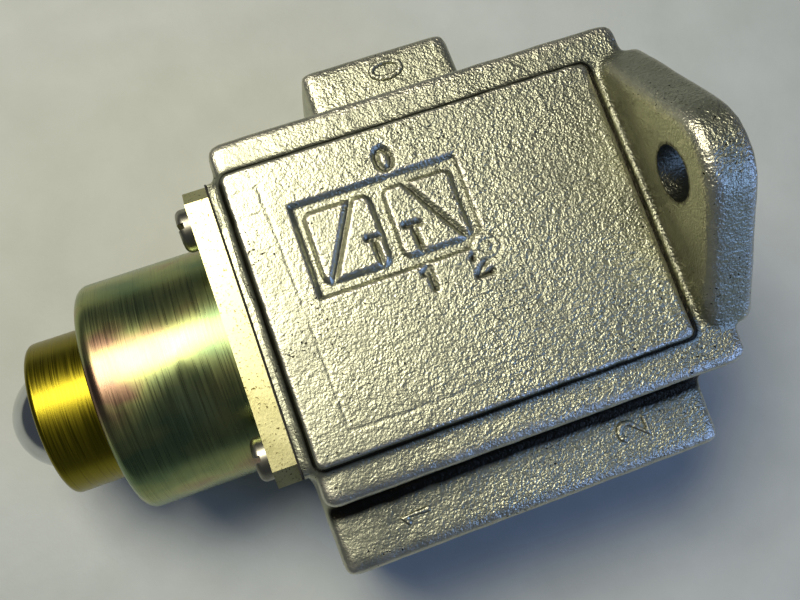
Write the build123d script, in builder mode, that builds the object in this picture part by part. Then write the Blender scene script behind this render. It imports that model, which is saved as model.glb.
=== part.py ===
from build123d import *
import math
import os

# Three-way, two-position pneumatic valve with a ball-cam plunger.
# Millimetres. The origin is where the plunger's axis meets the rear mounting face.
# +X leaves the rear face, so the plunger points along -X. +Y is the side of port 0.
# +Z leaves the face that carries the flow symbol, and the valve lies on its back.

# Cast body
body_length = 58.8  # plunger seat to rear mounting face
body_width = 46.8  # across the side ledges, measured at their top
ledge_level = 19.3  # side ledges above and below the axis
body_draft = 1.5  # degrees, from the parting plane
body_corner = 2.2
ledge_round = 0.8
pad_width = 37.8
pad_rise = 1.4  # raised face above the ledges
pad_front_gap = 1.7  # seat face to pad
pad_rear_gap = 7.9  # rear face to pad
pad_corner = 1.0
pad_round = 0.6
seat_size = 38.1  # square boss that carries the flange
seat_length = 1.25
seat_corner = 1.2
rear_pad_rise = 2.3  # mounting pad behind the block

# Flow symbol, sunk in the upper pad
symbol_setback = 19.35  # seat face to the middle of the symbol
symbol_offset = 6.35  # axis to the middle of the symbol
symbol_box_length = 8.4
symbol_box_width = 8.9
symbol_corner = 0.9
symbol_groove = 1.5  # outline round the boxes and between them
symbol_depth = 0.5
symbol_stroke = 0.9
symbol_stop = 2.6  # middle of a box to its blocked port's mark
symbol_stop_bar = 1.8
path_top = 1.8  # middle of a box to the flow path's upper end
path_foot = 3.4  # middle of a box to the flow path's lower end

# Port bosses
boss_front_gap = 1.0  # seat face to the long boss's end wall
boss_rear_gap = 6.4  # rear face to the long boss's end wall
boss_reach = 32.4  # axis to the end of a boss
boss_height = 22.4
boss_margin = 10.5  # port axis to the boss's end wall
boss_corner = 2.0
boss_round = 1.2
port_tap_d = 11.11  # tapping drill of a 1/4 inch pipe thread
port_tap_depth = 15.0
port_chamfer = 0.8
port_passage_d = 6.0

# Mounting ear
ear_thickness = 6.35
ear_hole_d = 7.14
ear_hole_height = 27.1  # above the plunger's axis
ear_top_radius = 8.1
ear_front_round = 1.4
ear_rear_round = 0.6

# Stack of seals and cages in the bore
spool_d = 9.5
travel = 4.5  # of the plunger and the spool
running_gap = 0.05  # radial, between sliding metal pieces
seal_gap = 0.02  # radial, between a seal and what slides in it
stack_bore_d = 15.0
seal_fit = 0.03  # radial, between a seal or cage and the bore
seal_side_gap = 0.05
cage_fit = 0.05
cage_rim = 1.8
cage_groove_depth = 0.9
cage_wall = 1.1
cage_hole_d = 3.0
cage_hole_count = 6
rear_shoulder = 9.8  # rear face to the shoulder that the stack bears on
chamber_d = 10.6  # spring chamber behind the stack
chamber_end_gap = 0.5  # spool's end to the chamber's floor at full travel
retainer_flange_d = 28.8
retainer_flange = 1.8
retainer_fit = 0.1
retainer_seal_section = 1.0

# Guide housing, flange and screws
gasket_thickness = 0.2
plate_thickness = 3.0
plate_corner = 2.0
housing_d = 31.75
housing_reach = 21.3  # seat face to the housing's nose
housing_round = 1.6
collar_d = 33.6
collar_depth = 1.6
collar_fit = 0.05
plate_fit = 0.1
screw_pitch = 30.0
screw_d = 3.0
screw_fit = 0.05
screw_grip = 8.0  # thread engaged in the body
screw_end_gap = 4.0  # tapped hole past the screw's end
head_d = 5.6
head_height = 1.8
slot_width = 0.8
slot_depth = 0.9
plate_hole_d = 3.4

# Plunger and ball
plunger_d = 21.2
plunger_reach = 29.7  # seat face to the nose, at rest
plunger_round = 0.7
shoulder_d = 25.0
shoulder_stop_gap = 0.4  # shoulder to the retainer at full travel
shoulder_fit = 0.1
guide_length = 5.5  # front bore that guides the plunger
wiper_width = 2.0
wiper_depth = 1.5
wiper_setback = 1.8  # housing nose to the wiper
wiper_fit = 0.05
ball_d = 14.29
ball_fit = 0.04
ball_setback = 1.84  # plunger nose to the ball's centre
cup_d = 17.6
cup_floor = 2.9  # wall between the ball's socket and the spring cup
push_boss_d = 8.0
push_boss_length = 8.5

# Spool
waist_d = 6.0
land_lap = 2.1  # land past the middle of a closed seal
front_waist_run = 7.4
rear_waist_run = 7.8
rear_land_lap = 0.3  # rear land past the last seal's pocket
stem_d = 6.2
stem_land_lap = 3.1  # front land past the retainer's face
spool_bore_d = 6.8
spool_web = 1.2
vent_d = 1.8
spool_chamfer = 0.3

# Springs
plunger_wire_d = 1.6
plunger_spring_d = 16.6
plunger_coils = 6
spool_wire_d = 0.8
spool_spring_d = 6.2
spool_coils = 6
spring_clear = 0.05

# Places along the axis
seat_x = -body_length
plate_back_x = seat_x - gasket_thickness
plate_front_x = plate_back_x - plate_thickness
collar_x = seat_x + collar_depth
retainer_x = collar_x + retainer_flange
shoulder_x = -rear_shoulder
spool_end_x = shoulder_x + rear_land_lap
chamber_x = spool_end_x + travel + chamber_end_gap
port_1_x = seat_x + boss_front_gap + boss_margin
port_2_x = -boss_rear_gap - boss_margin
port_0_x = (port_1_x + port_2_x) / 2
port_pitch = port_2_x - port_1_x
housing_nose_x = seat_x - housing_reach
guide_x = housing_nose_x + guide_length
plunger_nose_x = seat_x - plunger_reach
plunger_end_x = collar_x - travel - shoulder_stop_gap
ball_x = plunger_nose_x + ball_setback
socket_r = ball_d / 2 + ball_fit
cup_x = ball_x + socket_r + cup_floor
push_x = cup_x + push_boss_length

# Seals and cages, from the plunger's side to the rear
seal_outer_r = stack_bore_d / 2 - seal_fit
seal_inner_r = spool_d / 2 + seal_gap
seal_section = seal_outer_r - seal_inner_r
pocket = seal_section + 2 * seal_side_gap
rear_seal_x = shoulder_x - pocket / 2
port_1_seal_x = (port_1_x + port_0_x) / 2
port_2_seal_x = (port_0_x + port_2_x) / 2
retainer_nose_x = retainer_x + retainer_flange / 2
front_seal_x = retainer_nose_x + pocket / 2

draft_growth = ledge_level * math.tan(math.radians(body_draft))


def turned(points):
    """Half section of a turned piece, as (distance along X, radius), spun about its axis."""
    with BuildPart() as blank:
        with BuildSketch(Plane.XY):
            with BuildLine():
                Polyline(points, close=True)
            make_face()
        revolve(axis=Axis.X)
    return blank.part


def finish(piece, name):
    """Labels a finished piece and writes it."""
    piece.part.label = name
    export_step(piece.part, f"parts/{name}.step")


os.makedirs("parts", exist_ok=True)

# Block of the casting: drafted both ways from the parting plane, with round ledge edges
block_front_x = seat_x + seat_length - draft_growth
block_length = draft_growth - rear_pad_rise - block_front_x
with BuildPart() as block:
    with BuildSketch(Plane.XY):
        with Locations((block_front_x + block_length / 2, 0)):
            RectangleRounded(block_length, body_width + 2 * draft_growth, body_corner)
    extrude(amount=ledge_level, taper=body_draft)
    fillet(block.faces().sort_by(Axis.Z)[-1].edges(), radius=ledge_round)
    mirror(about=Plane.XY)

# Raised pads on the symbol face and on the back
pad_length = body_length - pad_front_gap - pad_rear_gap
with BuildPart() as pads:
    with BuildSketch(Plane.XY.offset(ledge_level - pad_rise)):
        with Locations((-pad_rear_gap - pad_length / 2, 0)):
            RectangleRounded(pad_length, pad_width, pad_corner)
    extrude(amount=2 * pad_rise)
    fillet(pads.faces().sort_by(Axis.Z)[-1].edges(), radius=pad_round)
    mirror(about=Plane.XY)

# Bosses of the three ports, drafted towards their ends
boss_0_plane = Plane((port_0_x, 0, 0), x_dir=(1, 0, 0), z_dir=(0, 1, 0))
boss_12_plane = Plane((port_0_x, 0, 0), x_dir=(1, 0, 0), z_dir=(0, -1, 0))
boss_growth = boss_reach * math.tan(math.radians(body_draft))
bosses = []
for plane, spread in ((boss_0_plane, 0.0), (boss_12_plane, port_pitch)):
    with BuildPart() as boss:
        with BuildSketch(plane):
            RectangleRounded(
                spread + 2 * (boss_margin + boss_growth),
                boss_height + 2 * boss_growth,
                boss_corner,
            )
        extrude(amount=boss_reach, taper=body_draft)
        fillet(boss.faces().sort_by(SortBy.DISTANCE, reverse=True)[0].edges(), radius=boss_round)
    bosses.append(boss.part)

# Mounting pad behind the block, and the ear that it rises into: straight flanks tangent to a round top
with BuildPart() as ear:
    with BuildSketch(Plane.YZ):
        with Locations((0, ear_hole_height)):
            Circle(ear_top_radius)
        Rectangle(pad_width, 2 * ledge_level)
        make_hull()
    extrude(amount=-ear_thickness)
    rim = ear.edges().filter_by_position(Axis.Z, ledge_level + pad_rise, 2 * ear_hole_height)
    fillet(rim.filter_by(Plane.YZ).group_by(Axis.X)[0], radius=ear_front_round)
    fillet(ear.faces().sort_by(Axis.X)[-1].edges(), radius=ear_rear_round)

with BuildPart() as valve_body:
    add(block.part)
    for boss_part in bosses:
        add(boss_part)
    add(pads.part)
    add(ear.part)
    # Square seat for the flange
    with BuildSketch(Plane.YZ.offset(seat_x)):
        RectangleRounded(seat_size, seat_size, seat_corner)
    extrude(amount=2 * seat_length)
    # Counterbores for the housing's collar and the retainer, then the stack bore
    for depth_x, diameter in (
        (collar_x, collar_d + 2 * collar_fit),
        (retainer_x, retainer_flange_d + 2 * retainer_fit),
        (shoulder_x, stack_bore_d),
        (chamber_x, chamber_d),
    ):
        with BuildSketch(Plane.YZ.offset(seat_x)):
            Circle(diameter / 2)
        extrude(amount=depth_x - seat_x, mode=Mode.SUBTRACT)
    # Ports: tapping drill, lead-in chamfer and passage to the bore
    for x, side in ((port_0_x, 1), (port_1_x, -1), (port_2_x, -1)):
        mouth = Plane((x, side * boss_reach, 0), x_dir=(1, 0, 0), z_dir=(0, side, 0))
        with BuildSketch(mouth):
            Circle(port_tap_d / 2)
        extrude(amount=-port_tap_depth, mode=Mode.SUBTRACT)
        with BuildSketch(mouth):
            Circle(port_tap_d / 2 + port_chamfer)
        extrude(amount=-port_chamfer, taper=45, mode=Mode.SUBTRACT)
        with BuildSketch(mouth):
            Circle(port_passage_d / 2)
        extrude(amount=-boss_reach + spool_d / 2, mode=Mode.SUBTRACT)
    # Flow symbol: an outline round two boxes, with a flow path and a blocked port in each
    with BuildSketch(Plane((seat_x + symbol_setback, symbol_offset, ledge_level + pad_rise))):
        box_pitch = symbol_box_length + symbol_groove
        Rectangle(2 * box_pitch + symbol_groove, symbol_box_width + 2 * symbol_groove)
        with GridLocations(box_pitch, 0, 2, 1):
            RectangleRounded(symbol_box_length, symbol_box_width, symbol_corner, mode=Mode.SUBTRACT)
        for side in (-1, 1):
            box_x = side * box_pitch / 2
            path_middle_x = box_x + side * (path_foot - path_top) / 2
            path_run = side * (path_top + path_foot)
            with Locations((path_middle_x, 0)):
                SlotCenterToCenter(
                    math.hypot(path_run, symbol_box_width),
                    symbol_stroke,
                    rotation=math.degrees(math.atan2(-symbol_box_width, path_run)),
                )
            stop_x = box_x - side * symbol_stop
            with Locations((stop_x, -symbol_box_width / 4)):
                Rectangle(symbol_stroke, symbol_box_width / 2)
            with Locations((stop_x, 0)):
                SlotOverall(symbol_stop_bar, symbol_stroke)
    extrude(amount=-symbol_depth, mode=Mode.SUBTRACT)
    # Tapped holes for the flange screws
    with BuildSketch(Plane.YZ.offset(seat_x)):
        with GridLocations(screw_pitch, screw_pitch, 2, 2):
            Circle(screw_d / 2 + screw_fit)
    extrude(amount=screw_grip + screw_end_gap, mode=Mode.SUBTRACT)
    # Mounting hole
    with BuildSketch(Plane.YZ):
        with Locations((0, ear_hole_height)):
            Circle(ear_hole_d / 2)
    extrude(amount=-ear_thickness, mode=Mode.SUBTRACT)
finish(valve_body, "valve_body")

# Gasket, cut out around the housing's collar
with BuildPart() as flange_gasket:
    with BuildSketch(Plane.YZ.offset(seat_x)):
        RectangleRounded(seat_size, seat_size, seat_corner)
        Circle(collar_d / 2 + collar_fit, mode=Mode.SUBTRACT)
        with GridLocations(screw_pitch, screw_pitch, 2, 2):
            Circle(plate_hole_d / 2, mode=Mode.SUBTRACT)
    extrude(amount=-gasket_thickness)
finish(flange_gasket, "flange_gasket")

# Square flange plate with cropped corners
with BuildPart() as flange_plate:
    with BuildSketch(Plane.YZ.offset(plate_back_x)) as plate_outline:
        Rectangle(seat_size, seat_size)
        chamfer(plate_outline.vertices(), length=plate_corner)
        Circle(housing_d / 2 + plate_fit, mode=Mode.SUBTRACT)
        with GridLocations(screw_pitch, screw_pitch, 2, 2):
            Circle(plate_hole_d / 2, mode=Mode.SUBTRACT)
    extrude(amount=-plate_thickness)
finish(flange_plate, "flange_plate")

# Four slotted pan-head screws
with BuildPart() as flange_screws:
    with BuildSketch(Plane.YZ.offset(plate_front_x)):
        with GridLocations(screw_pitch, screw_pitch, 2, 2):
            Circle(head_d / 2)
    extrude(amount=-head_height)
    crowns = flange_screws.faces().sort_by(Axis.X)[:4]
    fillet([edge for crown in crowns for edge in crown.edges()], radius=head_height / 2)
    with BuildSketch(Plane.YZ.offset(plate_front_x)):
        with GridLocations(screw_pitch, screw_pitch, 2, 2):
            Circle(screw_d / 2)
    extrude(amount=plate_thickness + gasket_thickness + screw_grip)
    with BuildSketch(Plane.YZ.offset(plate_front_x - head_height)):
        with GridLocations(screw_pitch, screw_pitch, 2, 2):
            Rectangle(slot_width, 2 * head_d)
    extrude(amount=slot_depth, mode=Mode.SUBTRACT)
finish(flange_screws, "flange_screws")

# Guide housing, turned, with a collar under the flange plate and a groove for the wiper
housing_r = housing_d / 2
guide_r = plunger_d / 2 + running_gap
guide_bore_r = shoulder_d / 2 + shoulder_fit
wiper_x = housing_nose_x + wiper_setback
wiper_r = guide_r + wiper_depth
with BuildPart() as guide_housing:
    add(
        turned(
            [
                (housing_nose_x, guide_r),
                (housing_nose_x, housing_r),
                (plate_back_x, housing_r),
                (plate_back_x, collar_d / 2),
                (collar_x, collar_d / 2),
                (collar_x, guide_bore_r),
                (guide_x, guide_bore_r),
                (guide_x, guide_r),
                (wiper_x + wiper_width, guide_r),
                (wiper_x + wiper_width, wiper_r),
                (wiper_x, wiper_r),
                (wiper_x, guide_r),
            ]
        )
    )
    nose_edges = guide_housing.edges().filter_by(GeomType.CIRCLE).group_by(Axis.X)[0]
    fillet(nose_edges.sort_by(SortBy.RADIUS)[-1], radius=housing_round)
finish(guide_housing, "guide_housing")

# Wiper ring that scrapes the plunger clean
with BuildPart() as plunger_wiper:
    add(
        turned(
            [
                (wiper_x + wiper_fit, guide_r),
                (wiper_x + wiper_fit, wiper_r - wiper_fit),
                (wiper_x + wiper_width - wiper_fit, wiper_r - wiper_fit),
                (wiper_x + wiper_width - wiper_fit, guide_r),
            ]
        )
    )
finish(plunger_wiper, "plunger_wiper")

# Plunger: ball socket in the nose, spring cup and push boss inside
plunger_r = plunger_d / 2
with BuildPart() as plunger:
    add(
        turned(
            [
                (plunger_nose_x, 0),
                (plunger_nose_x, plunger_r),
                (guide_x, plunger_r),
                (guide_x, shoulder_d / 2),
                (plunger_end_x, shoulder_d / 2),
                (plunger_end_x, cup_d / 2),
                (cup_x, cup_d / 2),
                (cup_x, push_boss_d / 2),
                (push_x, push_boss_d / 2),
                (push_x, 0),
            ]
        )
    )
    nose_edges = plunger.edges().filter_by(GeomType.CIRCLE).group_by(Axis.X)[0]
    fillet(nose_edges, radius=plunger_round)
    with Locations((ball_x, 0, 0)):
        Sphere(socket_r, mode=Mode.SUBTRACT)
finish(plunger, "plunger")

# Cam ball, held in the nose by the lip in front of its centre
with BuildPart() as ball:
    with Locations((ball_x, 0, 0)):
        Sphere(ball_d / 2)
finish(ball, "ball")

# Retainer that closes the stack and carries the plunger spring
with BuildPart() as stack_retainer:
    groove_r = retainer_flange_d / 2 - retainer_seal_section
    groove_a = collar_x + (retainer_flange - retainer_seal_section) / 2
    groove_b = groove_a + retainer_seal_section
    add(
        turned(
            [
                (collar_x, spool_d / 2 + running_gap),
                (collar_x, retainer_flange_d / 2),
                (groove_a, retainer_flange_d / 2),
                (groove_a, groove_r),
                (groove_b, groove_r),
                (groove_b, retainer_flange_d / 2),
                (retainer_x, retainer_flange_d / 2),
                (retainer_x, stack_bore_d / 2 - cage_fit),
                (retainer_nose_x, stack_bore_d / 2 - cage_fit),
                (retainer_nose_x, spool_d / 2 + running_gap),
            ]
        )
    )
finish(stack_retainer, "stack_retainer")


def ring_seal(name, x, inner_r, outer_r):
    """O-ring centred at x, round in section."""
    with BuildPart() as seal:
        with BuildSketch(Plane.XY):
            with Locations((x, (inner_r + outer_r) / 2)):
                Circle((outer_r - inner_r) / 2)
        revolve(axis=Axis.X)
    finish(seal, name)


retainer_seal_r = retainer_flange_d / 2 - retainer_seal_section + seal_fit
ring_seal(
    "retainer_seal",
    (groove_a + groove_b) / 2,
    retainer_seal_r,
    retainer_seal_r + retainer_seal_section - 2 * seal_fit,
)
ring_seal("front_seal", front_seal_x, seal_inner_r, seal_outer_r)
ring_seal("port_1_seal", port_1_seal_x, seal_inner_r, seal_outer_r)
ring_seal("port_2_seal", port_2_seal_x, seal_inner_r, seal_outer_r)
ring_seal("rear_seal", rear_seal_x, seal_inner_r, seal_outer_r)


def cage(name, start_x, end_x):
    """Spacer between two seals: rims that fit the bore, a groove outside and in, radial holes."""
    outer_r = stack_bore_d / 2 - cage_fit
    groove_outer_r = outer_r - cage_groove_depth
    chamber_r = groove_outer_r - cage_wall
    bearing_r = spool_d / 2 + running_gap
    with BuildPart() as spacer:
        add(
            turned(
                [
                    (start_x, bearing_r),
                    (start_x, outer_r),
                    (start_x + cage_rim, outer_r),
                    (start_x + cage_rim, groove_outer_r),
                    (end_x - cage_rim, groove_outer_r),
                    (end_x - cage_rim, outer_r),
                    (end_x, outer_r),
                    (end_x, bearing_r),
                    (end_x - cage_rim, bearing_r),
                    (end_x - cage_rim, chamber_r),
                    (start_x + cage_rim, chamber_r),
                    (start_x + cage_rim, bearing_r),
                ]
            )
        )
        for index in range(cage_hole_count // 2):
            around = Plane(((start_x + end_x) / 2, 0, 0), x_dir=(1, 0, 0), z_dir=(0, 0, 1))
            with BuildSketch(around.rotated((index * 360 / cage_hole_count, 0, 0))):
                Circle(cage_hole_d / 2)
            extrude(amount=outer_r, both=True, mode=Mode.SUBTRACT)
    finish(spacer, name)


cage("port_1_cage", front_seal_x + pocket / 2, port_1_seal_x - pocket / 2)
cage("port_0_cage", port_1_seal_x + pocket / 2, port_2_seal_x - pocket / 2)
cage("port_2_cage", port_2_seal_x + pocket / 2, rear_seal_x - pocket / 2)

# Spool: three lands and two waists, drilled for its spring and to vent the chamber
spool_r = spool_d / 2
waist_r = waist_d / 2
front_land_x = collar_x - stem_land_lap
front_waist_end = port_1_seal_x - land_lap
front_waist_start = front_waist_end - front_waist_run
rear_waist_start = port_2_seal_x + land_lap - travel
rear_waist_end = rear_waist_start + rear_waist_run
spring_floor_x = rear_waist_end + spool_web
with BuildPart() as spool:
    add(
        turned(
            [
                (push_x, 0),
                (push_x, stem_d / 2),
                (front_land_x, stem_d / 2),
                (front_land_x, spool_r - spool_chamfer),
                (front_land_x + spool_chamfer, spool_r),
                (front_waist_start - spool_chamfer, spool_r),
                (front_waist_start, spool_r - spool_chamfer),
                (front_waist_start, waist_r),
                (front_waist_end, waist_r),
                (front_waist_end, spool_r - spool_chamfer),
                (front_waist_end + spool_chamfer, spool_r),
                (rear_waist_start - spool_chamfer, spool_r),
                (rear_waist_start, spool_r - spool_chamfer),
                (rear_waist_start, waist_r),
                (rear_waist_end, waist_r),
                (rear_waist_end, spool_r - spool_chamfer),
                (rear_waist_end + spool_chamfer, spool_r),
                (spool_end_x - spool_chamfer, spool_r),
                (spool_end_x, spool_r - spool_chamfer),
                (spool_end_x, 0),
            ]
        )
    )
    with BuildSketch(Plane.YZ.offset(spool_end_x)):
        Circle(spool_bore_d / 2)
    extrude(amount=spring_floor_x - spool_end_x, mode=Mode.SUBTRACT)
    vent_x = (push_x + front_land_x) / 2
    with BuildSketch(Plane.YZ.offset(spring_floor_x)):
        Circle(vent_d / 2)
    extrude(amount=vent_x - spring_floor_x, mode=Mode.SUBTRACT)
    with BuildSketch(Plane((vent_x, 0, 0), x_dir=(1, 0, 0), z_dir=(0, 1, 0))):
        Circle(vent_d / 2)
    extrude(amount=stem_d, both=True, mode=Mode.SUBTRACT)
finish(spool, "spool")


def coil_spring(name, start_x, end_x, outer_d, wire_d, coils):
    """Helical spring between two seats, its wire kept just clear of both."""
    run = end_x - start_x - wire_d - 2 * spring_clear
    with BuildPart() as spring:
        with BuildLine():
            path = Helix(
                pitch=run / coils,
                height=run,
                radius=(outer_d - wire_d) / 2,
                center=(start_x + wire_d / 2 + spring_clear, 0, 0),
                direction=(1, 0, 0),
            )
        with BuildSketch(Plane(origin=path @ 0, z_dir=path % 0)):
            Circle(wire_d / 2)
        sweep(path=path, is_frenet=True)
    finish(spring, name)


coil_spring("plunger_spring", cup_x, collar_x, plunger_spring_d, plunger_wire_d, plunger_coils)
coil_spring("spool_spring", spring_floor_x, chamber_x, spool_spring_d, spool_wire_d, spool_coils)
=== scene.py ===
import math

import bmesh
import bpy
import numpy as np
from mathutils import Matrix, Vector, noise


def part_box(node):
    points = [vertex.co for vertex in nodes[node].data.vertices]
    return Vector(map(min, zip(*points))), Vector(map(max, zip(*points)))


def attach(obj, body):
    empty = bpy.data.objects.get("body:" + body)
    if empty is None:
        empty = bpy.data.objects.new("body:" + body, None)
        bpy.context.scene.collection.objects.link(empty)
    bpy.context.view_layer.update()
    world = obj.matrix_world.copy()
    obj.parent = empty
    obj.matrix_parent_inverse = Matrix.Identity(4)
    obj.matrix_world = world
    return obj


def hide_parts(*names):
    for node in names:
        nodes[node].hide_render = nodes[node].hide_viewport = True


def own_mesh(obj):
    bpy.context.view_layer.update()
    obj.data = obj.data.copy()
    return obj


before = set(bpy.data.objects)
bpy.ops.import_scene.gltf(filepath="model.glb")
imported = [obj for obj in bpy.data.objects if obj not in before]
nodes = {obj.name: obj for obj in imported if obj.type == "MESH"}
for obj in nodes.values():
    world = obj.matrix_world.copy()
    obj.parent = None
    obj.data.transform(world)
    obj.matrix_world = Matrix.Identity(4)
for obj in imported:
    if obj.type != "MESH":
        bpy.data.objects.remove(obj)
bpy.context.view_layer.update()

# The valve lies on its back on a pale bench, under one broad warm lamp and a weaker
# cool one. The camera stands above it, where the picture was taken from.
mm = 0.001


def linear(hex_colour):
    """An sRGB hex colour as linear RGBA."""
    parts = [int(hex_colour[i : i + 2], 16) / 255 for i in (1, 3, 5)]
    return tuple(p / 12.92 if p <= 0.04045 else ((p + 0.055) / 1.055) ** 2.4 for p in parts) + (1.0,)


def add(tree, kind, inputs=None, **settings):
    """Adds a node. An input is a plain value, or another node's output to link from."""
    made = tree.nodes.new(kind)
    for name, value in settings.items():
        setattr(made, name, value)
    for name, value in (inputs or {}).items():
        if isinstance(value, bpy.types.NodeSocket):
            tree.links.new(value, made.inputs[name])
        else:
            made.inputs[name].default_value = value
    return made


def new_finish(name, **values):
    """A material with its shader's own sockets set, its node tree and its shader."""
    material = bpy.data.materials.new(name)
    material.use_nodes = True
    shader = material.node_tree.nodes["Principled BSDF"]
    for socket, value in values.items():
        shader.inputs[socket.replace("_", " ")].default_value = value
    return material, material.node_tree, shader


def place(name, mesh, *materials):
    """A scene object at the origin that shows a mesh in the given materials."""
    piece = bpy.data.objects.new(name, mesh)
    bpy.context.scene.collection.objects.link(piece)
    mesh.materials.clear()
    for material in materials:
        mesh.materials.append(material)
    return piece


camera_data = bpy.data.cameras.new("camera")
camera_data.sensor_width = 36.0
camera_data.lens = 41.16
camera_data.clip_start = 0.01
camera = bpy.data.objects.new("camera", camera_data)
camera.location = (-0.05501, -0.0189, 0.12829)
camera.rotation_euler = [math.radians(a) for a in (10.3707, -4.0311, -19.6981)]
bpy.context.scene.collection.objects.link(camera)
bpy.context.scene.camera = camera
bpy.context.scene.view_settings.view_transform = "Standard"

for lamp_name, spot, size, watts, colour in (
    ("lamp", (-0.13, 0.15, 0.36), 0.18, 1.45, "#fff8e8"),
    ("window", (0.30, -0.30, 0.26), 0.30, 0.9, "#8fb2ff"),
):
    lamp_data = bpy.data.lights.new(lamp_name, "AREA")
    lamp_data.size = size
    lamp_data.energy = watts
    lamp_data.color = linear(colour)[:3]
    lamp = bpy.data.objects.new(lamp_name, lamp_data)
    lamp.location = spot
    aim = Vector((-0.035, 0.0, 0.0)) - Vector(spot)
    lamp.rotation_euler = aim.to_track_quat("-Z", "Y").to_euler()
    bpy.context.scene.collection.objects.link(lamp)

world = bpy.data.worlds.new("room")
bpy.context.scene.world = world
world.use_nodes = True
world.node_tree.nodes["Background"].inputs["Color"].default_value = linear("#cfdcf2")
world.node_tree.nodes["Background"].inputs["Strength"].default_value = 0.1

# Painted board: a dull, faintly mottled pale surface
bench_paint, tree, shader = new_finish("painted_board", Roughness=0.6)
place_in_bench = add(tree, "ShaderNodeTexCoord").outputs["Object"]
blotches = add(tree, "ShaderNodeTexNoise", {"Vector": place_in_bench, "Scale": 1 / (9 * mm), "Detail": 3.0})
tint = add(
    tree,
    "ShaderNodeMix",
    {0: blotches.outputs[0], 6: linear("#b3b8ae"), 7: linear("#c6cbc4")},
    data_type="RGBA",
)
tree.links.new(tint.outputs[2], shader.inputs["Base Color"])
grain = add(tree, "ShaderNodeTexNoise", {"Vector": place_in_bench, "Scale": 1 / (1.6 * mm), "Detail": 4.0})
dents = add(tree, "ShaderNodeBump", {"Height": grain.outputs[0], "Strength": 0.25, "Distance": 0.2 * mm})
tree.links.new(dents.outputs[0], shader.inputs["Normal"])
bench_mesh = bpy.data.meshes.new("bench")
bench_half = 0.9
bench_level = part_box("valve_body")[0].z
bench_mesh.from_pydata(
    [(-bench_half, -bench_half, bench_level), (bench_half, -bench_half, bench_level),
     (bench_half, bench_half, bench_level), (-bench_half, bench_half, bench_level)],
    [],
    [(0, 1, 2, 3)],
)
place("bench", bench_mesh, bench_paint)

# Valve body: one zinc die casting. Its skin is soft-edged and slightly lumpy from the
# die, and the bore, ports, screw holes and mounting hole are drilled and bored after.
ledge_level = 19.3 * mm
pad_level = 20.7 * mm
pad_low = Vector((-57.1 * mm, -18.9 * mm))
pad_high = Vector((-7.9 * mm, 18.9 * mm))
ear_hole_height = 27.1 * mm
port_places = ((-32.1 * mm, 1), (-47.3 * mm, -1), (-16.9 * mm, -1))
boss_reach = 32.4 * mm
thread_root_r = 6.55 * mm


def lathe(name, profile, around=96, stand=None):
    """A closed turned mesh. The profile is (distance along X, radius), both in metres."""
    angles = np.linspace(0, 2 * np.pi, around, endpoint=False)
    profile = np.array(profile, float)
    rings = np.empty((len(profile), around, 3))
    rings[:, :, 0] = profile[:, None, 0]
    rings[:, :, 1] = profile[:, None, 1] * np.cos(angles)
    rings[:, :, 2] = profile[:, None, 1] * np.sin(angles)
    faces = []
    for k in range(len(profile) - 1):
        for i in range(around):
            j = (i + 1) % around
            faces.append((k * around + i, k * around + j, (k + 1) * around + j, (k + 1) * around + i))
    faces.append(tuple(range(around)))
    faces.append(tuple(range((len(profile) - 1) * around, len(profile) * around)))
    mesh = bpy.data.meshes.new(name)
    mesh.from_pydata(rings.reshape(-1, 3).tolist(), [], faces)
    if stand is not None:
        mesh.transform(stand)
    shell = bmesh.new()
    shell.from_mesh(mesh)
    bmesh.ops.recalc_face_normals(shell, faces=shell.faces)
    shell.to_mesh(mesh)
    shell.free()
    return mesh


def along_y(x, side, y):
    """A matrix that stands a lathe's +X axis along Y, starting at height y on one side."""
    return Matrix.Translation((x, side * y, 0)) @ Matrix.Rotation(math.radians(90 * side), 4, "Z")


def evaluated(piece):
    """The piece's mesh with its modifiers worked in."""
    bpy.context.view_layer.update()
    depsgraph = bpy.context.evaluated_depsgraph_get()
    return bpy.data.meshes.new_from_object(piece.evaluated_get(depsgraph), depsgraph=depsgraph)


def coordinates(mesh):
    points = np.empty(len(mesh.vertices) * 3)
    mesh.vertices.foreach_get("co", points)
    return points.reshape(-1, 3)


def set_coordinates(mesh, points):
    mesh.vertices.foreach_set("co", points.ravel())
    mesh.update()


def neighbour_mean(mesh, values):
    """Mean of each vertex's neighbours, for points or for single values."""
    ends = np.empty(len(mesh.edges) * 2, np.int64)
    mesh.edges.foreach_get("vertices", ends)
    ends = ends.reshape(-1, 2)
    total = np.zeros_like(values)
    count = np.zeros(len(mesh.vertices))
    for a, b in ((0, 1), (1, 0)):
        np.add.at(total, ends[:, a], values[ends[:, b]])
        np.add.at(count, ends[:, a], 1)
    count = np.maximum(count, 1)
    return total / (count[:, None] if values.ndim > 1 else count)


def mark_crevices(mesh, scale, rounds):
    """Stores how far each vertex lies in a hollow (above 0.5) or on an edge (below 0.5); the casting's finish paints
    shade in hollows and a highlight on edges from it.
    """
    points = coordinates(mesh)
    normals = np.empty(len(mesh.vertices) * 3)
    mesh.vertices.foreach_get("normal", normals)
    hollow = ((neighbour_mean(mesh, points) - points) * normals.reshape(-1, 3)).sum(axis=1) / scale
    for _ in range(rounds):
        hollow = 0.5 * hollow + 0.5 * neighbour_mean(mesh, hollow)
    stored = mesh.attributes.new("crevice", "FLOAT", "POINT")
    stored.data.foreach_set("value", np.clip(0.5 + 0.5 * hollow, 0, 1).astype(np.float32))


def lumps(points, size, seed):
    """Smooth unevenness from -1 to 1 over points, with features of a size in metres."""
    shift = Vector((seed * 3.7, seed * 1.9, seed * 5.3))
    return np.array([noise.noise(Vector(p) / size + shift) for p in points])


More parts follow.
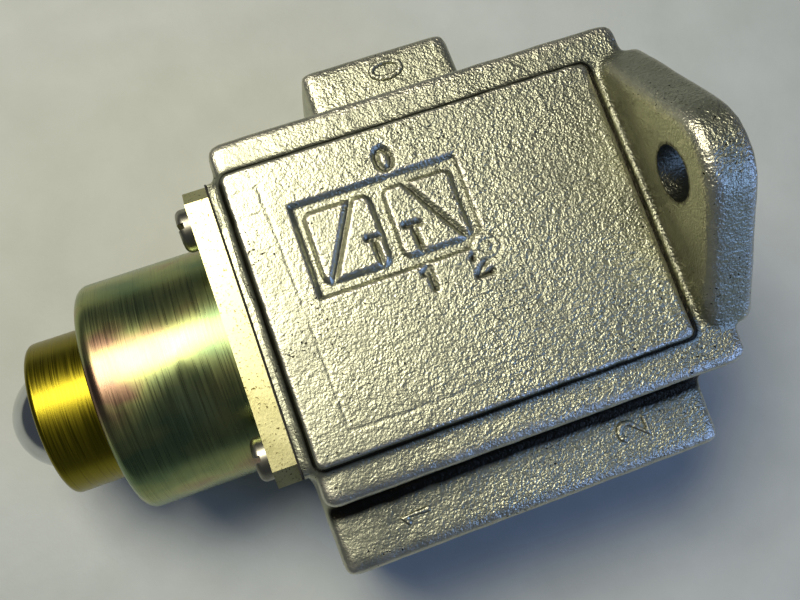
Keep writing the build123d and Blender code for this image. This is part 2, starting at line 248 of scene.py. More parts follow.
def to_box(x, y, low_x, high_x, low_y, high_y, corner):
    """Signed distance to a rectangle with rounded corners, negative inside."""
    half_x = (high_x - low_x) / 2 - corner
    half_y = (high_y - low_y) / 2 - corner
    dx = np.abs(x - (low_x + high_x) / 2) - half_x
    dy = np.abs(y - (low_y + high_y) / 2) - half_y
    outside = np.hypot(np.maximum(dx, 0), np.maximum(dy, 0))
    return outside + np.minimum(np.maximum(dx, dy), 0) - corner


def add_painted_shade(mesh, amount):
    """Raises the stored crevice value of each vertex to at least an amount, deepening the painted shade there."""
    values = np.empty(len(mesh.vertices), np.float32)
    stored = mesh.attributes["crevice"].data
    stored.foreach_get("value", values)
    stored.foreach_set("value", np.maximum(values, np.clip(amount, 0, 1)).astype(np.float32))


merged = nodes["valve_body"].data.copy()
plugs = [
    lathe("plug", [(-58.8 * mm, 16.9 * mm), (-3 * mm, 16.9 * mm)]),
    lathe("plug", [(-6.35 * mm, 3.7 * mm), (0, 3.7 * mm)], stand=Matrix.Translation((0, 0, ear_hole_height))),
]
for x, side in port_places:
    plugs.append(lathe("plug", [(10 * mm, 7 * mm), (boss_reach, 7 * mm)], stand=along_y(x, side, 0)))
for y in (-15, 15):
    for z in (-15, 15):
        plugs.append(
            lathe("plug", [(-58.8 * mm, 2 * mm), (-46 * mm, 2 * mm)], stand=Matrix.Translation((0, y * mm, z * mm)))
        )
blank = bmesh.new()
blank.from_mesh(merged)
bmesh.ops.remove_doubles(blank, verts=blank.verts, dist=1e-6)
for plug in plugs:
    blank.from_mesh(plug)
blank.to_mesh(merged)
blank.free()

casting = place("die_cast_body", merged)
skin = casting.modifiers.new("skin", "REMESH")
skin.mode = "VOXEL"
skin.voxel_size = 0.45 * mm
cast_mesh = evaluated(casting)
casting.modifiers.clear()
points = coordinates(cast_mesh)
for _ in range(5):
    points += 0.5 * (neighbour_mean(cast_mesh, points) - points)
set_coordinates(cast_mesh, points)
normals = np.empty(len(points) * 3)
cast_mesh.vertices.foreach_get("normal", normals)
unevenness = 0.07 * mm * lumps(points, 4 * mm, 1) + 0.035 * mm * lumps(points, 1.3 * mm, 2)
points += normals.reshape(-1, 3) * unevenness[:, None]
under_pad = (
    (points[:, 2] > ledge_level + 0.1 * mm)
    & (points[:, 0] < pad_high.x + 0.4 * mm)
    & (np.abs(points[:, 1]) < pad_high.y + 0.3 * mm)
)
points[under_pad, 2] = np.minimum(points[under_pad, 2], ledge_level + 0.7 * mm)
points[:, 0] = np.clip(points[:, 0], -58.8 * mm, 0)
points[:, 1] = np.clip(points[:, 1], -boss_reach, boss_reach)
points[:, 2] = np.clip(points[:, 2], bench_level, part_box("valve_body")[1].z)
set_coordinates(cast_mesh, points)
casting.data = cast_mesh

past = 1 * mm
cutters = [
    lathe(
        "cutter",
        [(-58.8 * mm - past, 16.85 * mm), (-57.2 * mm, 16.85 * mm), (-57.2 * mm, 14.5 * mm), (-55.4 * mm, 14.5 * mm),
         (-55.4 * mm, 7.5 * mm), (-9.8 * mm, 7.5 * mm), (-9.8 * mm, 5.3 * mm), (-4.5 * mm, 5.3 * mm)],
    ),
    lathe(
        "cutter",
        [(-8 * mm, 3.57 * mm), (-0.3 * mm, 3.57 * mm), (past, 4.6 * mm)],
        stand=Matrix.Translation((0, 0, ear_hole_height)),
    ),
]
for x, side in port_places:
    cutters.append(
        lathe(
            "cutter",
            [(6 * mm, 3 * mm), (boss_reach - 15 * mm, 3 * mm), (boss_reach - 15 * mm, thread_root_r),
             (boss_reach - 0.6 * mm, thread_root_r), (boss_reach + past, thread_root_r + 1.6 * mm)],
            stand=along_y(x, side, 0),
        )
    )
for y in (-15, 15):
    for z in (-15, 15):
        cutters.append(
            lathe("cutter", [(-60 * mm, 1.55 * mm), (-46.8 * mm, 1.55 * mm)], around=32,
                  stand=Matrix.Translation((0, y * mm, z * mm)))
        )
for cutter_mesh in cutters:
    cutter = place("cutter", cutter_mesh)
    drill = casting.modifiers.new("drill", "BOOLEAN")
    drill.operation = "DIFFERENCE"
    drill.solver = "MANIFOLD"
    drill.object = cutter
    casting.data = evaluated(casting)
    casting.modifiers.clear()
    bpy.data.objects.remove(cutter)
cast_mesh = casting.data

centres = np.empty(len(cast_mesh.polygons) * 3)
cast_mesh.polygons.foreach_get("center", centres)
centres = centres.reshape(-1, 3)
bored = np.hypot(centres[:, 1], centres[:, 2]) < 16.87 * mm
bored &= (centres[:, 0] > -58.79 * mm) & (centres[:, 0] < -3 * mm)
bored |= (np.hypot(centres[:, 1], centres[:, 2] - ear_hole_height) < 3.6 * mm) & (centres[:, 0] > -6.6 * mm)
for x, side in port_places:
    bored |= (np.hypot(centres[:, 0] - x, centres[:, 2]) < 6.9 * mm) & (side * centres[:, 1] > 5 * mm)
bored |= np.hypot(np.abs(centres[:, 1]) - 15 * mm, np.abs(centres[:, 2]) - 15 * mm) < 1.6 * mm
cast_mesh.polygons.foreach_set("material_index", bored.astype(np.int32))


def soften(mesh, sharp_degrees=40):
    """Smooth shading, broken where two faces meet at a sharp angle."""
    shell = bmesh.new()
    shell.from_mesh(mesh)
    for face in shell.faces:
        face.smooth = True
    for edge in shell.edges:
        edge.smooth = len(edge.link_faces) == 2 and edge.calc_face_angle(0) < math.radians(sharp_degrees)
    shell.to_mesh(mesh)
    shell.free()


soften(cast_mesh)
mark_crevices(cast_mesh, 0.08 * mm, 3)
x, y, z = coordinates(cast_mesh).T / mm
# Painted shade: the step line round the raised pad, widest at its right end, the roots of the bosses and the rim of
# the ear hole are darkened, with patchy strength.
patchy = 0.14 * lumps(np.column_stack([x, y, z]), 2.5, 6)
pad_gap = np.abs(to_box(x, y, -57.1, -7.9, -18.9, 18.9, 1.2))
on_ledge = (np.abs(z) > 18.2) & (np.abs(z) < 20.6)
by_pad = np.where(on_ledge, 1.25 - pad_gap / np.where(x > -8.5, 0.9, 0.55), 0)
by_boss = 1.25 - np.hypot(np.abs(y) - 24.4, np.abs(z) - 11.9) / np.where(y < 0, 1.9, 1.2)
by_boss = np.where(np.where(y > 0, np.abs(x + 32.1) < 12.3, x < -5.4), by_boss, 0)
by_hole = np.where(x > -7, 0.95 - np.abs(np.hypot(y, z - 27.1) - 3.7) / 0.7, 0)
add_painted_shade(cast_mesh, np.maximum(np.maximum(by_pad, by_boss) + patchy, by_hole))

# Zinc die casting: a dull grey metal skin with a fine orange peel and pits. Painted shade
# darkens its corners and hollows, and a painted highlight brightens its raised edges.
cast_zinc, tree, shader = new_finish("zinc_die_casting", Metallic=1.0)
where = add(tree, "ShaderNodeTexCoord").outputs["Object"]
crevice = add(tree, "ShaderNodeAttribute", attribute_name="crevice").outputs["Fac"]
cloud = add(tree, "ShaderNodeTexNoise", {"Vector": where, "Scale": 1 / (7 * mm), "Detail": 5.0, "Roughness": 0.6})
skin_tint = add(
    tree, "ShaderNodeMix", {0: cloud.outputs[0], 6: linear("#8c8e7c"), 7: linear("#bebfa4")}, data_type="RGBA"
)
# Painted shade: hollows and the marked corners darken towards near-black.
painted_shade = add(tree, "ShaderNodeMapRange", {0: crevice, 1: 0.56, 2: 0.86})
painted_shade_tint = add(
    tree, "ShaderNodeMix", {0: painted_shade.outputs[0], 6: skin_tint.outputs[2], 7: linear("#2c2a22")}, data_type="RGBA"
)
# Painted highlight: raised edges and rounded corners brighten towards pale cream.
painted_edge_highlight = add(tree, "ShaderNodeMapRange", {0: crevice, 1: 0.46, 2: 0.3})
painted_edge_highlight_tint = add(
    tree, "ShaderNodeMix", {0: painted_edge_highlight.outputs[0], 6: painted_shade_tint.outputs[2], 7: linear("#cfccb8")}, data_type="RGBA"
)
apart = add(tree, "ShaderNodeSeparateXYZ", {0: where})
grit = add(tree, "ShaderNodeMapRange", {0: apart.outputs[0], 1: -54 * mm, 2: -30 * mm, 3: 0.35, 4: 1.0})
pock = add(tree, "ShaderNodeTexNoise", {"Vector": where, "Scale": 1 / (0.42 * mm), "Detail": 1.0})
pock_patch = add(tree, "ShaderNodeTexNoise", {"Vector": where, "Scale": 1 / (6 * mm), "Detail": 2.0})
pock_level = add(tree, "ShaderNodeMapRange", {0: pock_patch.outputs[0], 1: 0.4, 2: 0.65, 3: 0.80, 4: 0.66})
pock_over = add(tree, "ShaderNodeMath", {0: pock.outputs[0], 1: pock_level.outputs[0]}, operation="SUBTRACT")
pock_mask = add(tree, "ShaderNodeMapRange", {0: pock_over.outputs[0], 1: 0.0, 2: 0.04})
pock_tint = add(
    tree, "ShaderNodeMix", {0: pock_mask.outputs[0], 6: painted_edge_highlight_tint.outputs[2], 7: linear("#37352b")}, data_type="RGBA"
)
tree.links.new(pock_tint.outputs[2], shader.inputs["Base Color"])
rough = add(tree, "ShaderNodeMapRange", {0: cloud.outputs[0], 1: 0.3, 2: 0.7, 3: 0.42, 4: 0.32})
tree.links.new(rough.outputs[0], shader.inputs["Roughness"])
peel = add(tree, "ShaderNodeTexNoise", {"Vector": where, "Scale": 1 / (0.32 * mm), "Detail": 2.0})
ripple = add(tree, "ShaderNodeTexNoise", {"Vector": where, "Scale": 1 / (0.9 * mm), "Detail": 2.0})
skin_height = add(tree, "ShaderNodeMath", {0: peel.outputs[0], 1: ripple.outputs[0]}, operation="ADD")
peel_bump = add(
    tree, "ShaderNodeBump", {"Height": skin_height.outputs[0], "Strength": grit.outputs[0], "Distance": 0.16 * mm}
)
pock_bump = add(
    tree, "ShaderNodeBump",
    {"Height": pock_mask.outputs[0], "Strength": 0.5, "Distance": 0.06 * mm, "Normal": peel_bump.outputs[0]},
    invert=True,
)
tree.links.new(pock_bump.outputs[0], shader.inputs["Normal"])

# Bored zinc: bright metal with the fine rings that a drill leaves, 0.25 mm apart
bored_zinc, tree, shader = new_finish("bored_zinc", Metallic=1.0, Roughness=0.3)
where = add(tree, "ShaderNodeTexCoord").outputs["Object"]
shader.inputs["Base Color"].default_value = linear("#b4b4ac")
rings = add(
    tree, "ShaderNodeTexWave", {"Vector": where, "Scale": 1 / (1.6 * mm), "Distortion": 1.2, "Detail": 2.0},
    bands_direction="X",
)
ring_bump = add(tree, "ShaderNodeBump", {"Height": rings.outputs[1], "Strength": 0.4, "Distance": 0.05 * mm})
tree.links.new(ring_bump.outputs[0], shader.inputs["Normal"])
cast_mesh.materials.clear()
cast_mesh.materials.append(cast_zinc)
cast_mesh.materials.append(bored_zinc)
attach(casting, "body")
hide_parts("valve_body")

# Flange seat: the front of the same casting, milled square and flat for the flange
seat_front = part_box("valve_body")[0].x
seat_half = 19.05 * mm
seat_corner = 1.2 * mm
seat_steps = 192
turns = np.linspace(0, 2 * np.pi, seat_steps, endpoint=False) + 0.001
far = np.ones(seat_steps)
for _ in range(60):
    reach = to_box(far * np.cos(turns) * seat_half, far * np.sin(turns) * seat_half,
                   -seat_half, seat_half, -seat_half, seat_half, seat_corner)
    far -= reach / seat_half
seat_rows = []
for at, shrink, round_one in (
    (seat_front + 1.7 * mm, 0.0, False), (seat_front + 0.12 * mm, 0.0, False), (seat_front, 0.12 * mm, False),
    (seat_front, 0.0, True), (seat_front + 1.7 * mm, 0.0, True),
):
    radius = np.full(seat_steps, 16.85 * mm) if round_one else far * seat_half - shrink
    seat_rows.append(np.column_stack([np.full(seat_steps, at), radius * np.cos(turns), radius * np.sin(turns)]))
seat_faces = []
for k in range(len(seat_rows)):
    for i in range(seat_steps):
        j = (i + 1) % seat_steps
        up = (k + 1) % len(seat_rows)
        seat_faces.append((k * seat_steps + i, k * seat_steps + j, up * seat_steps + j, up * seat_steps + i))
seat_mesh = bpy.data.meshes.new("flange_seat")
seat_mesh.from_pydata(np.vstack(seat_rows).tolist(), [], seat_faces)
shell = bmesh.new()
shell.from_mesh(seat_mesh)
bmesh.ops.recalc_face_normals(shell, faces=shell.faces)
shell.to_mesh(seat_mesh)
shell.free()
soften(seat_mesh)
even = seat_mesh.attributes.new("crevice", "FLOAT", "POINT")
even.data.foreach_set("value", np.full(len(seat_mesh.vertices), 0.5, np.float32))
flange_seat = place("flange_seat", seat_mesh, cast_zinc)
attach(flange_seat, "body")

# Symbol face: the raised pad of the same casting, worked finely because it carries the
# sunk flow symbol, the port numbers, an ejector-pin mark and the die inserts' lines.
cell = 0.2 * mm
skirt = 0.4 * mm
xs = np.arange(pad_low.x - skirt, pad_high.x + skirt + cell / 2, cell)
ys = np.arange(pad_low.y - skirt, pad_high.y + skirt + cell / 2, cell)
grid_x, grid_y = (g.ravel() for g in np.meshgrid(xs, ys, indexing="ij"))


def to_stroke(x, y, path):
    """Distance to a line through points."""
    best = np.full(x.shape, np.inf)
    for (ax, ay), (bx, by) in zip(path, path[1:]):
        ux, uy = bx - ax, by - ay
        t = np.clip(((x - ax) * ux + (y - ay) * uy) / (ux * ux + uy * uy), 0, 1)
        best = np.minimum(best, np.hypot(x - ax - t * ux, y - ay - t * uy))
    return best


def digit_path(digit):
    """A plain digit as a line in a box 1 high, with its centre at 0, 0."""
    turn = np.radians(np.arange(0, 361, 20))
    if digit == "0":
        return [(0.32 * math.cos(a), 0.5 * math.sin(a)) for a in turn]
    if digit == "1":
        return [(-0.22, 0.25), (0.04, 0.5), (0.04, -0.5)]
    bow = [(0.3 * math.cos(a), 0.2 + 0.3 * math.sin(a)) for a in np.radians(np.arange(165, -50, -20))]
    return bow + [(-0.32, -0.5), (0.34, -0.5)]


gx, gy = grid_x / mm, grid_y / mm
wobble = 0.07 * lumps(np.column_stack([gx, gy, 0 * gx]), 2.2, 3)
frame_groove = np.maximum(
    to_box(gx, gy, -50.2, -28.7, 0.3, 12.4, 0.15),
    -np.minimum(
        to_box(gx, gy, -48.85, -40.65, 1.95, 10.75, 0.9),
        to_box(gx, gy, -38.7, -30.2, 1.95, 10.7, 0.9),
    ),
)
strokes = (
    ([(-42.7, 11.2), (-48.0, 1.6)], 0.42),
    ([(-36.1, 11.2), (-30.7, 2.0)], 0.38),
    ([(-42.4, 5.5), (-41.0, 5.3)], 0.34),
    ([(-41.7, 5.4), (-41.6, 1.6)], 0.34),
    ([(-37.5, 5.6), (-35.7, 5.4)], 0.34),
    ([(-36.6, 5.4), (-36.4, 1.6)], 0.34),
)
sunk = frame_groove + 0.4 * wobble
for path, half_width in strokes:
    sunk = np.minimum(sunk, to_stroke(gx, gy, path) - half_width)
for digit, x, y in (("0", -37.2, 14.5), ("1", -36.7, -1.5), ("2", -30.2, -1.7)):
    path = [(x + 2.8 * px, y + 2.8 * py) for px, py in digit_path(digit)]
    sunk = np.minimum(sunk, to_stroke(gx, gy, path) - 0.36)
groove_depth = 0.55
wall = np.clip((0.3 - sunk) / 0.75, 0, 1)
height = -groove_depth * wall * wall * (3 - 2 * wall)
pin = np.hypot(gx + 28.9, gy - 0.1)
pin_face = np.clip((2.05 - pin) / 0.25, 0, 1)
height = height * (1 - pin_face) - 0.1 * pin_face
height -= 0.12 * np.exp(-(((pin - 0.8) / 0.16) ** 2)) + 0.1 * np.exp(-(((pin - 1.75) / 0.2) ** 2))
for path in (
    [(-56.1, 12.6), (-53.0, 12.6), (-53.0, 15.8), (-56.1, 15.8)],
    [(-52.8, 15.8), (-52.6, 8.2), (-52.3, 0.4)],
    [(-52.3, -2.0), (-51.9, -15.6), (-46.1, -15.8), (-32.1, -15.8)],
):
    height -= 0.06 * np.exp(-((to_stroke(gx, gy, path) / 0.14) ** 2))
right = np.clip((gx + 45) / 25, 0, 1)
flat_points = np.column_stack([gx, gy, 0 * gx])
height += (0.012 + 0.022 * right) * lumps(flat_points, 0.9, 4) + 0.05 * lumps(flat_points, 6.0, 5)
edge = to_box(gx, gy, -57.1, -7.9, -18.9, 18.9, 1.2) + wobble
round_r = 0.7 + 1.1 * np.clip(1 + (gx + 7.9) / 3, 0, 1)
inside = np.clip(-edge / round_r, 0, 1)
arc = round_r * (np.sqrt(np.clip(1 - (1 - inside) ** 2, 0, 1)) - 1)
skirt_drop = np.clip(edge / 0.15, 0, 1)
top = pad_level / mm + height * np.clip(-edge / 0.8, 0, 1) + arc
foot = ledge_level / mm - 0.5
pad_points = np.column_stack([grid_x, grid_y, ((1 - skirt_drop) * top + skirt_drop * foot) * mm])
nx, ny = len(xs), len(ys)
index = np.arange(nx * ny).reshape(nx, ny)
quads = np.stack([index[:-1, :-1], index[1:, :-1], index[1:, 1:], index[:-1, 1:]], axis=-1).reshape(-1, 4)
rim = list(index[:, 0]) + list(index[-1, 1:]) + list(index[-2::-1, -1]) + list(index[0, -2:0:-1])
pad_mesh = bpy.data.meshes.new("symbol_face")
pad_mesh.from_pydata(pad_points.tolist(), [], quads.tolist() + [[int(i) for i in reversed(rim)]])
soften(pad_mesh, 70)
# Painted shade in the sunk symbol's grooves and a painted highlight on its ridges come from this crevice value.
mark_crevices(pad_mesh, 0.05 * mm, 4)
# Painted shade: a dark band along the pad's rim, where it steps down to the ledge.
add_painted_shade(pad_mesh, np.where(edge > -0.5, 1.1 + 2.2 * edge, 0) + 0.2 * wobble)
symbol_face = place("symbol_face", pad_mesh, cast_zinc)
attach(symbol_face, "body")
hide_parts("valve_body")

# Port numbers on the bosses: plain raised digits, cast in, with soft round edges and
# their tops towards the plunger.
boss_top = 11.2 * mm
figures = bpy.data.curves.new("boss_numbers", "CURVE")
figures.dimensions = "3D"
figures.bevel_depth = 0.5 * mm
figures.bevel_resolution = 5
figures.use_fill_caps = True
for digit, x, y, tall, wide in (("0", -31.1, 29.3, 4.2, 3.6), ("1", -47.2, -27.8, 3.8, 3.8), ("2", -17.2, -27.3, 3.8, 3.6)):
    path = digit_path(digit)
    line = figures.splines.new("POLY")
    line.points.add(len(path) - 1)
    for point, (across, up) in zip(line.points, path):
        point.co = (x * mm - up * tall * mm, y * mm + across * wide * mm, boss_top, 1)
writing = bpy.data.objects.new("writing", figures)
bpy.context.scene.collection.objects.link(writing)
figures_mesh = evaluated(writing)
bpy.data.objects.remove(writing)
boss_numbers = place("boss_numbers", figures_mesh)
melt = boss_numbers.modifiers.new("melt", "REMESH")
melt.mode = "VOXEL"
melt.voxel_size = 0.13 * mm
figures_mesh = evaluated(boss_numbers)
boss_numbers.modifiers.clear()
points = coordinates(figures_mesh)
for _ in range(8):
    points += 0.5 * (neighbour_mean(figures_mesh, points) - points)
set_coordinates(figures_mesh, points)
boss_numbers.data = figures_mesh
soften(figures_mesh, 80)
# Painted highlight: the crevice value brightens the digits' rounded edges in the casting's finish.
mark_crevices(figures_mesh, 0.05 * mm, 3)
figures_mesh.materials.clear()
figures_mesh.materials.append(cast_zinc)
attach(boss_numbers, "body")

# Port threads: quarter-inch pipe threads cut into the bosses, 1.41 mm from turn to turn
thread_pitch = 1.41 * mm
thread_crest_r = 5.6 * mm
thread_length = 14.0 * mm
thread_steps = 48
rows_per_turn = 10
row_count = int(round(thread_length / thread_pitch * rows_per_turn))
thread_meshes = bmesh.new()
for x, side in port_places:
    rows = []
    for row in range(row_count + 1):
        deep = row / rows_per_turn * thread_pitch
        for step in range(thread_steps):
            around = 2 * math.pi * step / thread_steps
            phase = (deep / thread_pitch + step / thread_steps) % 1.0
            tooth = min(1.0, max(0.0, 2.4 * abs(phase - 0.5) - 0.1))
            ends = min(1.0, row / 6, (row_count - row) / 6)
            radius = thread_root_r - 0.02 * mm - (thread_root_r - thread_crest_r) * tooth * ends
            rows.append((deep, radius * math.cos(around), radius * math.sin(around)))
    outer = thread_root_r + 0.35 * mm
    for deep in (thread_length, 0.0):
        for step in range(thread_steps):
            around = 2 * math.pi * step / thread_steps
            rows.append((deep, outer * math.cos(around), outer * math.sin(around)))
    loops = row_count + 3
    faces = []
    for k in range(loops):
        for step in range(thread_steps):
            nxt = (step + 1) % thread_steps
            up = (k + 1) % loops
            faces.append((k * thread_steps + step, k * thread_steps + nxt, up * thread_steps + nxt, up * thread_steps + step))
    thread_mesh = bpy.data.meshes.new("thread")
    thread_mesh.from_pydata(rows, [], faces)
    thread_mesh.transform(along_y(x, side, boss_reach - 0.8 * mm) @ Matrix.Rotation(math.pi, 4, "Z"))
    thread_meshes.from_mesh(thread_mesh)
bmesh.ops.recalc_face_normals(thread_meshes, faces=thread_meshes.faces)
port_thread_mesh = bpy.data.meshes.new("port_threads")
thread_meshes.to_mesh(port_thread_mesh)
thread_meshes.free()
soften(port_thread_mesh, 60)
port_threads = place("port_threads", port_thread_mesh, bored_zinc)
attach(port_threads, "body")

# Gasket: a thin sheet of pressed fibre between the flange and the body, coloured nearly black, so it shows as a dark
# line between the two
fibre, tree, shader = new_finish("pressed_fibre", Roughness=0.85)
where = add(tree, "ShaderNodeTexCoord").outputs["Object"]
flecks = add(tree, "ShaderNodeTexNoise", {"Vector": where, "Scale": 1 / (0.6 * mm), "Detail": 4.0})
tint = add(tree, "ShaderNodeMix", {0: flecks.outputs[0], 6: linear("#14130f"), 7: linear("#35322a")}, data_type="RGBA")
tree.links.new(tint.outputs[2], shader.inputs["Base Color"])
fibre_bump = add(tree, "ShaderNodeBump", {"Height": flecks.outputs[0], "Strength": 0.4, "Distance": 0.04 * mm})
tree.links.new(fibre_bump.outputs[0], shader.inputs["Normal"])


def dress(name, material):
    """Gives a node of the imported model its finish."""
    mesh = nodes[name].data
    mesh.materials.clear()
    mesh.materials.append(material)


dress("flange_gasket", fibre)

# Flange plate: cold-rolled steel, sheared square with cropped corners, then zinc plated
# and passivated yellow.
yellow_zinc, tree, shader = new_finish("yellow_zinc_plate", Metallic=1.0)
where = add(tree, "ShaderNodeTexCoord").outputs["Object"]
drift = add(tree, "ShaderNodeTexNoise", {"Vector": where, "Scale": 1 / (6 * mm), "Detail": 3.0})
tint = add(tree, "ShaderNodeMix", {0: drift.outputs[0], 6: linear("#9a9458"), 7: linear("#d6d3a8")}, data_type="RGBA")
specks = add(tree, "ShaderNodeTexNoise", {"Vector": where, "Scale": 1 / (0.3 * mm), "Detail": 2.0})
speck_mask = add(tree, "ShaderNodeMapRange", {0: specks.outputs[0], 1: 0.6, 2: 0.72})
speckled = add(
    tree, "ShaderNodeMix", {0: speck_mask.outputs[0], 6: tint.outputs[2], 7: linear("#4c431f")}, data_type="RGBA"
)
tree.links.new(speckled.outputs[2], shader.inputs["Base Color"])
rough = add(tree, "ShaderNodeMapRange", {0: drift.outputs[0], 1: 0.3, 2: 0.7, 3: 0.28, 4: 0.42})
tree.links.new(rough.outputs[0], shader.inputs["Roughness"])
roll_bump = add(tree, "ShaderNodeBump", {"Height": specks.outputs[0], "Strength": 0.25, "Distance": 0.03 * mm})
tree.links.new(roll_bump.outputs[0], shader.inputs["Normal"])
dress("flange_plate", yellow_zinc)

# Flange screws: slotted steel screws with round heads, dull zinc with oil in the slots
screw_zinc, tree, shader = new_finish("dull_zinc_screw", Metallic=1.0)
where = add(tree, "ShaderNodeTexCoord").outputs["Object"]
smudge = add(tree, "ShaderNodeTexNoise", {"Vector": where, "Scale": 1 / (1.5 * mm), "Detail": 4.0})
tint = add(tree, "ShaderNodeMix", {0: smudge.outputs[0], 6: linear("#5d5b50"), 7: linear("#b9b6a4")}, data_type="RGBA")
tree.links.new(tint.outputs[2], shader.inputs["Base Color"])
rough = add(tree, "ShaderNodeMapRange", {0: smudge.outputs[0], 1: 0.3, 2: 0.7, 3: 0.45, 4: 0.28})
tree.links.new(rough.outputs[0], shader.inputs["Roughness"])
dress("flange_screws", screw_zinc)

# Guide housing: turned steel, zinc plated and passivated. The tool left fine rings, and
# the passivate drifts from green to straw and pink around it.
green_zinc, tree, shader = new_finish("turned_green_zinc", Metallic=1.0, Anisotropic=0.5)
where = add(tree, "ShaderNodeTexCoord").outputs["Object"]
stretch = add(tree, "ShaderNodeMapping", {"Vector": where, "Scale": (1 / (14 * mm), 1 / (9 * mm), 1 / (9 * mm))})
drift = add(tree, "ShaderNodeTexNoise", {"Vector": stretch.outputs[0], "Scale": 1.0, "Detail": 3.0})
straw = add(tree, "ShaderNodeMapRange", {0: drift.outputs[0], 1: 0.4, 2: 0.6})
pink = add(tree, "ShaderNodeMapRange", {0: drift.outputs[0], 1: 0.56, 2: 0.68})
tint = add(tree, "ShaderNodeMix", {0: straw.outputs[0], 6: linear("#75895f"), 7: linear("#a8ab6c")}, data_type="RGBA")
pinked = add(tree, "ShaderNodeMix", {0: pink.outputs[0], 6: tint.outputs[2], 7: linear("#94775f")}, data_type="RGBA")
lines = add(tree, "ShaderNodeMapping", {"Vector": where, "Scale": (1 / (0.16 * mm), 1 / (9 * mm), 1 / (9 * mm))})
rings = add(tree, "ShaderNodeTexNoise", {"Vector": lines.outputs[0], "Scale": 1.0, "Detail": 2.0})
ring_tint = add(tree, "ShaderNodeMapRange", {0: rings.outputs[0], 1: 0.3, 2: 0.7, 3: 0.82, 4: 1.1})
ringed = add(
    tree, "ShaderNodeMix", {0: 1.0, 6: pinked.outputs[2], 7: ring_tint.outputs[0]},
    data_type="RGBA", blend_type="MULTIPLY",
)
tree.links.new(ringed.outputs[2], shader.inputs["Base Color"])
rough = add(tree, "ShaderNodeMapRange", {0: rings.outputs[0], 1: 0.3, 2: 0.7, 3: 0.24, 4: 0.36})
tree.links.new(rough.outputs[0], shader.inputs["Roughness"])
ring_bump = add(tree, "ShaderNodeBump", {"Height": rings.outputs[0], "Strength": 0.35, "Distance": 0.03 * mm})
tree.links.new(ring_bump.outputs[0], shader.inputs["Normal"])
dress("guide_housing", green_zinc)

# Wiper and seals: black nitrile rubber, moulded, with a faint bloom on the dull skin
nitrile, tree, shader = new_finish("nitrile_rubber", Roughness=0.55, IOR=1.52)
where = add(tree, "ShaderNodeTexCoord").outputs["Object"]
bloom = add(tree, "ShaderNodeTexNoise", {"Vector": where, "Scale": 1 / (2 * mm), "Detail": 3.0})
tint = add(tree, "ShaderNodeMix", {0: bloom.outputs[0], 6: linear("#0d0d0e"), 7: linear("#232325")}, data_type="RGBA")
tree.links.new(tint.outputs[2], shader.inputs["Base Color"])
for name in ("plunger_wiper", "retainer_seal", "front_seal", "port_1_seal", "port_2_seal", "rear_seal"):
    dress(name, nitrile)

# Plunger: turned brass-coloured steel, its gold passivate worn where the housing's bore
# rubs it. It slides in the housing and carries the ball in its nose.
gold, tree, shader = new_finish("gold_passivated_plunger", Metallic=1.0, Anisotropic=0.4)
where = add(tree, "ShaderNodeTexCoord").outputs["Object"]
lines = add(tree, "ShaderNodeMapping", {"Vector": where, "Scale": (1 / (0.18 * mm), 1 / (8 * mm), 1 / (8 * mm))})
rings = add(tree, "ShaderNodeTexNoise", {"Vector": lines.outputs[0], "Scale": 1.0, "Detail": 2.0})
tint = add(tree, "ShaderNodeMix", {0: rings.outputs[0], 6: linear("#5a5212"), 7: linear("#a39626")}, data_type="RGBA")
tree.links.new(tint.outputs[2], shader.inputs["Base Color"])
rough = add(tree, "ShaderNodeMapRange", {0: rings.outputs[0], 1: 0.3, 2: 0.7, 3: 0.25, 4: 0.4})
tree.links.new(rough.outputs[0], shader.inputs["Roughness"])
ring_bump = add(tree, "ShaderNodeBump", {"Height": rings.outputs[0], "Strength": 0.4, "Distance": 0.03 * mm})
tree.links.new(ring_bump.outputs[0], shader.inputs["Normal"])
dress("plunger", gold)

# Cam ball: a hardened bearing ball, polished like a mirror and smeared with a little oil
ball_steel, tree, shader = new_finish("polished_ball_steel", Metallic=1.0)
where = add(tree, "ShaderNodeTexCoord").outputs["Object"]
smear = add(tree, "ShaderNodeTexNoise", {"Vector": where, "Scale": 1 / (3 * mm), "Detail": 4.0})
tint = add(tree, "ShaderNodeMix", {0: smear.outputs[0], 6: linear("#b9bbb6"), 7: linear("#dcdedd")}, data_type="RGBA")
tree.links.new(tint.outputs[2], shader.inputs["Base Color"])
rough = add(tree, "ShaderNodeMapRange", {0: smear.outputs[0], 1: 0.3, 2: 0.7, 3: 0.06, 4: 0.16})
tree.links.new(rough.outputs[0], shader.inputs["Roughness"])
dress("ball", ball_steel)

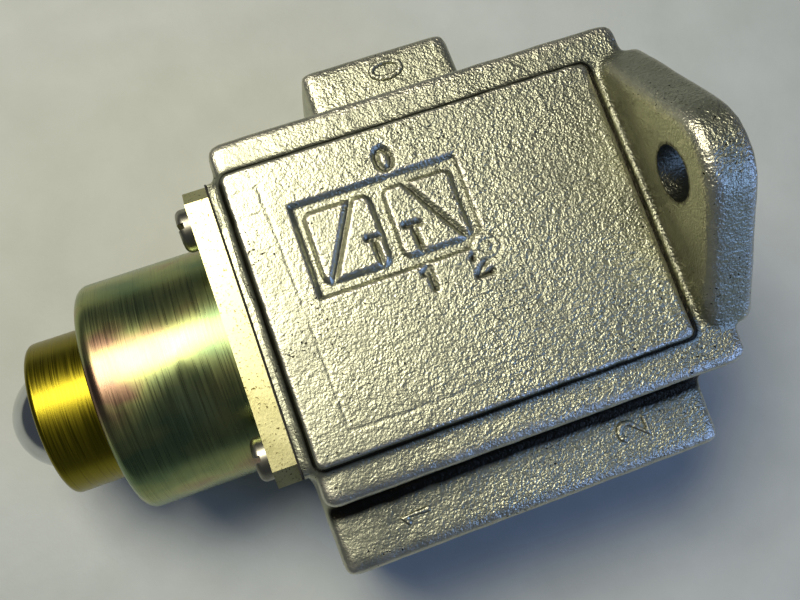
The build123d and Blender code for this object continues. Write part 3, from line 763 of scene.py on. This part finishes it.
# Cages and retainer: machined brass rings that space the seals in the bore
brass, tree, shader = new_finish("machined_brass", Metallic=1.0, Roughness=0.3)
where = add(tree, "ShaderNodeTexCoord").outputs["Object"]
lines = add(tree, "ShaderNodeMapping", {"Vector": where, "Scale": (1 / (0.2 * mm), 1 / (7 * mm), 1 / (7 * mm))})
rings = add(tree, "ShaderNodeTexNoise", {"Vector": lines.outputs[0], "Scale": 1.0, "Detail": 2.0})
tint = add(tree, "ShaderNodeMix", {0: rings.outputs[0], 6: linear("#a98946"), 7: linear("#d8bd76")}, data_type="RGBA")
tree.links.new(tint.outputs[2], shader.inputs["Base Color"])
for name in ("stack_retainer", "port_1_cage", "port_0_cage", "port_2_cage"):
    dress(name, brass)

# Spool: ground stainless steel, with grinding lines around it
ground_steel, tree, shader = new_finish("ground_stainless", Metallic=1.0, Roughness=0.18)
where = add(tree, "ShaderNodeTexCoord").outputs["Object"]
lines = add(tree, "ShaderNodeMapping", {"Vector": where, "Scale": (1 / (0.1 * mm), 1 / (6 * mm), 1 / (6 * mm))})
rings = add(tree, "ShaderNodeTexNoise", {"Vector": lines.outputs[0], "Scale": 1.0, "Detail": 2.0})
tint = add(tree, "ShaderNodeMix", {0: rings.outputs[0], 6: linear("#a7a8a8"), 7: linear("#cfd0d0")}, data_type="RGBA")
tree.links.new(tint.outputs[2], shader.inputs["Base Color"])
dress("spool", ground_steel)

# Springs: hard-drawn steel wire, wound and oiled. They shorten as the plunger goes in;
# each here is a copy of the model's coil, with its doubled points merged, fixed to the body.
spring_wire, tree, shader = new_finish("drawn_spring_wire", Metallic=1.0, Roughness=0.35)
where = add(tree, "ShaderNodeTexCoord").outputs["Object"]
scale_marks = add(tree, "ShaderNodeTexNoise", {"Vector": where, "Scale": 1 / (1.2 * mm), "Detail": 4.0})
tint = add(tree, "ShaderNodeMix", {0: scale_marks.outputs[0], 6: linear("#4f4f52"), 7: linear("#8b8b8c")}, data_type="RGBA")
tree.links.new(tint.outputs[2], shader.inputs["Base Color"])
for name, joint in (("plunger_spring", "plunger_slide"), ("spool_spring", "spool_slide")):
    wire_mesh = nodes[name].data.copy()
    coil = bmesh.new()
    coil.from_mesh(wire_mesh)
    bmesh.ops.remove_doubles(coil, verts=coil.verts, dist=1e-7)
    coil.to_mesh(wire_mesh)
    coil.free()
    spring = place(name + "_coil", wire_mesh, spring_wire)
    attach(spring, "body")
    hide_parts(name)
    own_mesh(spring)
